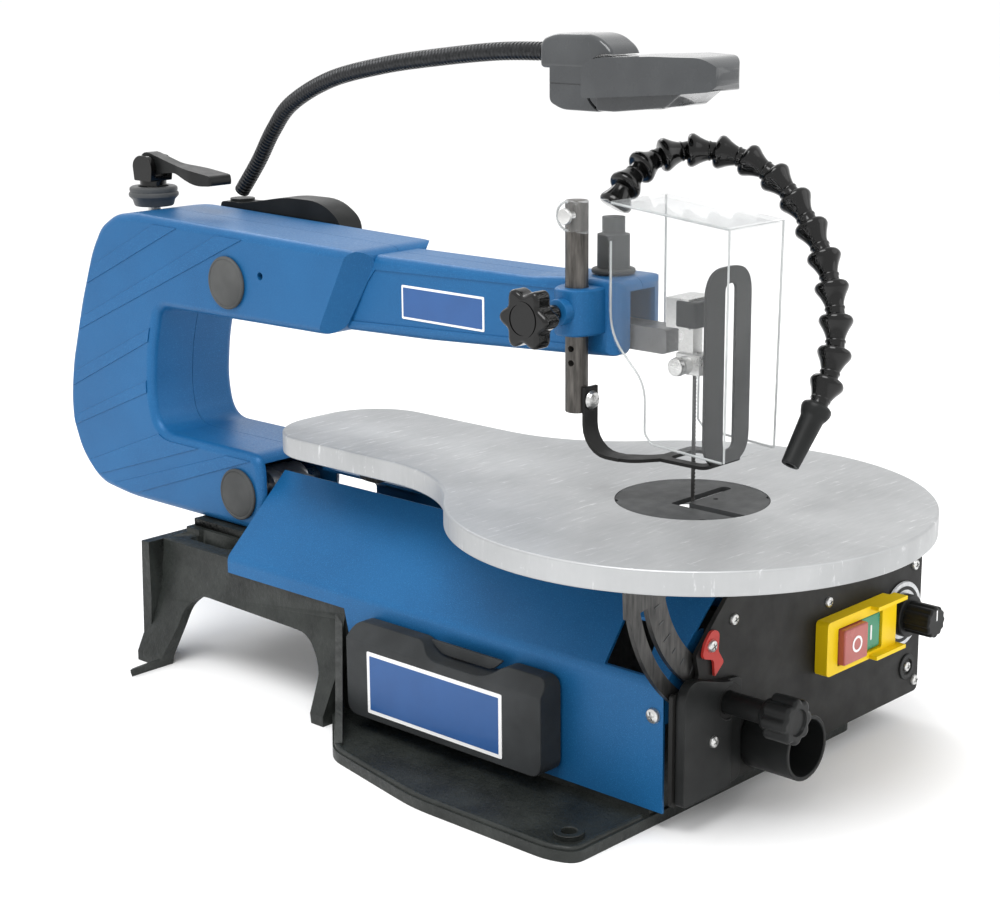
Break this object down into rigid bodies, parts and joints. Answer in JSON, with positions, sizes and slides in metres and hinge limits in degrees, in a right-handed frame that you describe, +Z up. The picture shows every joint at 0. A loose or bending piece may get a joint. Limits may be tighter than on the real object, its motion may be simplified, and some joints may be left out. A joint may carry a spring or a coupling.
{
  "type": "scroll saw",
  "caption": "Bench scroll saw with C-shaped arm housing, tilting oval table, hold-down guard, flexible air hose, gooseneck lamp and storage box.",
  "frame": {"origin": "middle of the footprint of the overall box, on the bench surface under the feet", "axes": "+X towards the operator's right, +Y away from the operator along the arms, +Z up"},
  "size_m": [0.2894, 0.6234, 0.3899],
  "materials": {
    "cast_iron_paint": "painted casting, satin, orange-peel texture",
    "motor_paint": "painted motor shell",
    "blue_paint": "fine textured satin blue enamel",
    "black_steel": "satin black steel",
    "black_plastic": "moulded black plastic",
    "gooseneck_steel": "blackened wound steel",
    "grey_plastic": "moulded dark grey plastic",
    "grey_rubber": "grey rubber",
    "table_aluminium": "ground aluminium",
    "arm_aluminium": "bare aluminium",
    "steel": "plated steel",
    "blade_steel": "dark steel",
    "red_plastic": "moulded red plastic",
    "yellow_plastic": "moulded yellow plastic",
    "green_plastic": "moulded green plastic",
    "clear_plastic": "clear polycarbonate"
  },
  "bodies": {
    "frame": {"base_casting": "cast_iron_paint", "side_skirt": "blue_paint", "side_cover_right": "blue_paint", "front_panel": "black_steel", "panel_bezel": "black_plastic", "control_box": "black_plastic", "dust_port": "black_plastic", "cord_gland": "black_plastic", "arm_housing_left": "blue_paint", "arm_housing_right": "blue_paint", "upper_pivot_cap_left": "grey_plastic", "upper_pivot_cap_right": "grey_plastic", "lower_pivot_cap_left": "grey_plastic", "lower_pivot_cap_right": "grey_plastic", "upper_pivot_pin": "steel", "lower_pivot_pin": "steel", "motor": "motor_paint", "tension_washer": "grey_rubber", "switch_frame": "yellow_plastic", "dial_plate": "arm_aluminium", "tilt_pointer": "red_plastic", "air_fitting": "grey_plastic", "lamp_base": "black_plastic", "gooseneck": "gooseneck_steel", "storage_latch": "black_plastic"},
    "table": {"table_top": "table_aluminium", "table_insert": "black_plastic", "table_trunnion": "black_steel", "rear_trunnion": "black_steel"},
    "tilt_lock": {"tilt_lock_knob": "black_plastic"},
    "upper_rocker": {"upper_arm": "arm_aluminium"},
    "lower_rocker": {"lower_arm": "arm_aluminium"},
    "conrod": {"connecting_rod": "steel"},
    "crankshaft": {"motor_crank": "steel"},
    "blade_set": {"blade": "blade_steel", "upper_clamp": "steel", "lower_clamp": "steel"},
    "upper_screw": {"upper_clamp_screw": "steel"},
    "lower_screw": {"lower_clamp_screw": "steel"},
    "rear_link": {"tension_rod": "steel"},
    "yoke": {"tension_yoke": "black_plastic"},
    "lever": {"tension_lever": "black_plastic"},
    "post": {"guard_post": "blade_steel", "hold_down_foot": "black_steel", "foot_screw": "steel", "guard_screw": "steel"},
    "post_clamp": {"post_knob": "black_plastic"},
    "guard": {"guard_shell": "clear_plastic"},
    "speed": {"speed_knob": "black_plastic"},
    "stop": {"stop_button": "red_plastic"},
    "start": {"start_button": "green_plastic"},
    "bin": {"storage_box": "grey_plastic"},
    "hose_a": {"hose_lower": "black_plastic"},
    "hose_b": {"hose_middle": "black_plastic"},
    "hose_c": {"hose_upper": "black_plastic"},
    "nozzle": {"hose_nozzle": "black_plastic"},
    "lamp_arm": {"lamp_elbow": "black_plastic"},
    "lamp": {"lamp_head": "black_plastic", "lamp_lens": "clear_plastic"}
  },
  "joints": [
    {"name": "table_tilt", "type": "hinge", "parent": "frame", "child": "table", "pos_m": [-0.01732, -0.08635, 0.1455], "axis": [0, 1, 0], "range_deg": [-45, 0]},
    {"name": "tilt_lock_turn", "type": "hinge", "parent": "frame", "child": "tilt_lock", "pos_m": [-0.04332, -0.26135, 0.063], "axis": [0, -1, 0], "continuous": true},
    {"name": "rock_upper_arm", "type": "hinge", "parent": "frame", "child": "upper_rocker", "pos_m": [-0.01732, 0.14165, 0.238], "axis": [-1, 0, 0], "range_deg": [-1.2, 1.2]},
    {"name": "rock_lower_arm", "type": "hinge", "parent": "frame", "child": "lower_rocker", "pos_m": [-0.01732, 0.13865, 0.107], "axis": [-1, 0, 0], "range_deg": [-1.2, 1.2]},
    {"name": "conrod_swing", "type": "hinge", "parent": "lower_rocker", "child": "conrod", "pos_m": [-0.00382, -0.03635, 0.107], "axis": [-1, 0, 0], "range_deg": [-1.2, 1.2]},
    {"name": "crank_turn", "type": "hinge", "parent": "frame", "child": "crankshaft", "pos_m": [0.00568, -0.03635, 0.052], "axis": [1, 0, 0], "continuous": true},
    {"name": "blade_stroke", "type": "slide", "parent": "frame", "child": "blade_set", "axis": [0, 0, 1], "range_m": [-0.00687, 0.00687]},
    {"name": "rear_rod_stroke", "type": "slide", "parent": "frame", "child": "rear_link", "axis": [0, 0, 1], "range_m": [-0.00236, 0.00236]},
    {"name": "upper_clamp_screw_turn", "type": "hinge", "parent": "blade_set", "child": "upper_screw", "pos_m": [-0.03032, -0.18535, 0.2275], "axis": [1, 0, 0], "continuous": true},
    {"name": "lower_clamp_screw_turn", "type": "hinge", "parent": "blade_set", "child": "lower_screw", "pos_m": [-0.02532, -0.18535, 0.122], "axis": [1, 0, 0], "continuous": true},
    {"name": "tension_turn", "type": "hinge", "parent": "rear_link", "child": "yoke", "pos_m": [-0.01732, 0.25315, 0.29], "axis": [0, 0, 1], "range_deg": [-270, 15]},
    {"name": "tension_lever_lift", "type": "hinge", "parent": "yoke", "child": "lever", "pos_m": [-0.01732, 0.25315, 0.299], "axis": [-1, 0, 0], "range_deg": [0, 100]},
    {"name": "post_lower", "type": "slide", "parent": "frame", "child": "post", "axis": [0, 0, -1], "range_m": [-0.026, 0.018]},
    {"name": "post_clamp_turn", "type": "hinge", "parent": "frame", "child": "post_clamp", "pos_m": [-0.07732, -0.13135, 0.253], "axis": [-1, 0, 0], "continuous": true},
    {"name": "guard_close", "type": "hinge", "parent": "post", "child": "guard", "pos_m": [-0.05532, -0.13435, 0.302], "axis": [1, 0, 0], "range_deg": [-8, 0]},
    {"name": "speed_turn", "type": "hinge", "parent": "frame", "child": "speed", "pos_m": [0.12368, -0.23635, 0.067], "axis": [0, -1, 0], "range_deg": [0, 280]},
    {"name": "stop_press", "type": "slide", "parent": "frame", "child": "stop", "axis": [0, 1, 0], "range_m": [0, 0.003], "stiffness_N_per_m": 400},
    {"name": "start_press", "type": "slide", "parent": "frame", "child": "start", "axis": [0, 1, 0], "range_m": [0, 0.003], "stiffness_N_per_m": 400},
    {"name": "bin_tip", "type": "hinge", "parent": "frame", "child": "bin", "pos_m": [-0.08172, -0.07935, 0.016], "axis": [0, -1, 0], "range_deg": [0, 17]},
    {"name": "hose_swivel", "type": "hinge", "parent": "frame", "child": "hose_a", "pos_m": [-0.01732, -0.13235, 0.303], "axis": [0, 0, -1], "range_deg": [-40, 6]},
    {"name": "hose_bend_upper", "type": "hinge", "parent": "hose_a", "child": "hose_b", "pos_m": [0.03468, -0.15885, 0.329], "axis": [-1, 0, 0], "range_deg": [0, 20]},
    {"name": "hose_bend_lower", "type": "hinge", "parent": "hose_b", "child": "hose_c", "pos_m": [0.03818, -0.22485, 0.281], "axis": [0, 1, 0], "range_deg": [-15, 15]},
    {"name": "nozzle_bend", "type": "hinge", "parent": "hose_c", "child": "nozzle", "pos_m": [0.00468, -0.24735, 0.2105], "axis": [0, 1, 0], "range_deg": [-20, 20]},
    {"name": "lamp_swing", "type": "hinge", "parent": "frame", "child": "lamp_arm", "pos_m": [-0.00332, -0.07835, 0.372], "axis": [0, 0, 1], "range_deg": [-25, 15]},
    {"name": "lamp_tilt", "type": "hinge", "parent": "lamp_arm", "child": "lamp", "pos_m": [-0.00332, -0.12485, 0.365], "axis": [1, 0, 0], "range_deg": [-4, 15]}
  ],
  "couplings": [
    {"joint": "rock_lower_arm", "follows": "rock_upper_arm", "ratio": 1},
    {"joint": "conrod_swing", "follows": "rock_upper_arm", "ratio": -1},
    {"joint": "blade_stroke", "follows": "rock_upper_arm", "m_per_rad": 0.3275},
    {"joint": "rear_rod_stroke", "follows": "rock_upper_arm", "m_per_rad": -0.1125}
  ]
}
